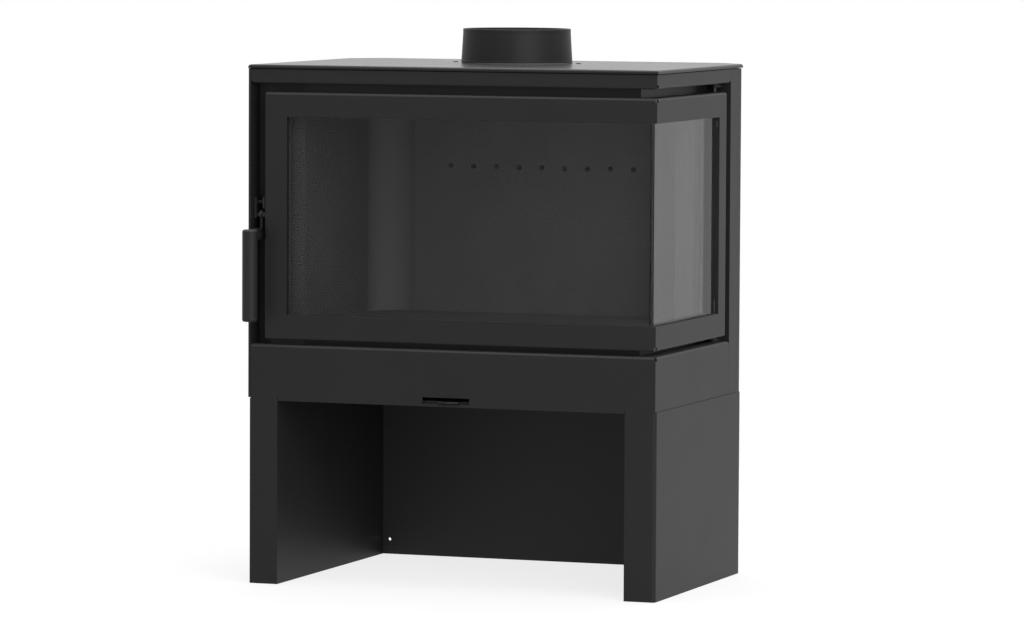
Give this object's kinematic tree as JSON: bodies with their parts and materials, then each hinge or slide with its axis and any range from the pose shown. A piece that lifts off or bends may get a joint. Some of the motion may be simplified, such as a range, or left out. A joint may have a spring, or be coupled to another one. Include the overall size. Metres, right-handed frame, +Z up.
{
  "type": "wood stove",
  "caption": "Black steel corner stove with a glass door round its front right corner, a hanging bar handle, a top flue collar and an open log bay below.",
  "frame": {"origin": "middle of the whole stove's box in plan, on the floor it stands on", "axes": "+Z up along the flue, -Y out of the front with the door, +X to the side with the side glass"},
  "size_m": [0.584, 0.439, 0.751],
  "materials": {
    "outer_paint": "matte",
    "inner_paint": "matte",
    "burnt_paint": "matte",
    "fibre_gasket": "matte",
    "dark_steel": "satin",
    "lining_board": "matte",
    "door_glass": "polished",
    "gasket": "matte",
    "rope": "woven"
  },
  "bodies": {
    "stove": {"stand_left_leg": "outer_paint", "stand_right_leg": "outer_paint", "stand_back_panel": "outer_paint", "stand_bolts": "dark_steel", "casing_floor": "inner_paint", "lower_panel": "outer_paint", "fascia_band": "outer_paint", "right_pillar": "outer_paint", "left_side_panel": "outer_paint", "rear_casing": "outer_paint", "rear_spacers": "inner_paint", "rear_screws": "inner_paint", "top_plate": "outer_paint", "top_spacers": "inner_paint", "top_screws": "inner_paint", "flue_collar": "outer_paint", "flue_gasket": "fibre_gasket", "flue_outlet_tube": "inner_paint", "firebox_left_wall": "inner_paint", "firebox_back_wall": "inner_paint", "firebox_floor": "inner_paint", "firebox_roof": "inner_paint", "firebox_left_stile": "burnt_paint", "latch_strip": "inner_paint", "stile_infill": "inner_paint", "firebox_rear_stile": "inner_paint", "firebox_top_rail": "inner_paint", "firebox_bottom_rail": "inner_paint", "firebox_supports": "inner_paint", "lining_left": "lining_board", "lining_corner": "lining_board", "lining_back": "lining_board", "lining_right": "lining_board", "lining_floor": "lining_board", "baffle_plate": "lining_board", "baffle_support": "inner_paint", "secondary_air_duct": "inner_paint", "primary_air_duct": "inner_paint", "slider_guide": "inner_paint", "upper_hinge_lug": "outer_paint", "lower_hinge_lug": "outer_paint", "upper_hinge_pin": "dark_steel", "lower_hinge_pin": "dark_steel", "latch_keeper": "inner_paint", "keeper_pin": "dark_steel"},
    "door": {"door_frame": "outer_paint", "glass_retainer": "burnt_paint", "retainer_standoffs": "inner_paint", "retainer_screws": "dark_steel", "front_glass": "door_glass", "side_glass": "door_glass", "glass_tape": "gasket", "door_rope_seal": "rope", "upper_hinge_block": "inner_paint", "lower_hinge_block": "inner_paint", "latch_pivot": "inner_paint"},
    "handle": {"handle_lever": "inner_paint", "handle_grip": "outer_paint"},
    "air_control": {"air_slider": "outer_paint"}
  },
  "joints": [
    {"name": "door_swing", "type": "hinge", "parent": "stove", "child": "door", "pos_m": [0.274, 0.111, 0.5], "axis": [0, 0, 1], "range_deg": [0, 100]},
    {"name": "handle_lift", "type": "hinge", "parent": "door", "child": "handle", "pos_m": [-0.27795, -0.1655, 0.5005], "axis": [-1, 0, 0], "range_deg": [0, 50]},
    {"name": "air_slide", "type": "slide", "parent": "stove", "child": "air_control", "axis": [1, 0, 0], "range_m": [-0.0235, 0.0145]}
  ]
}
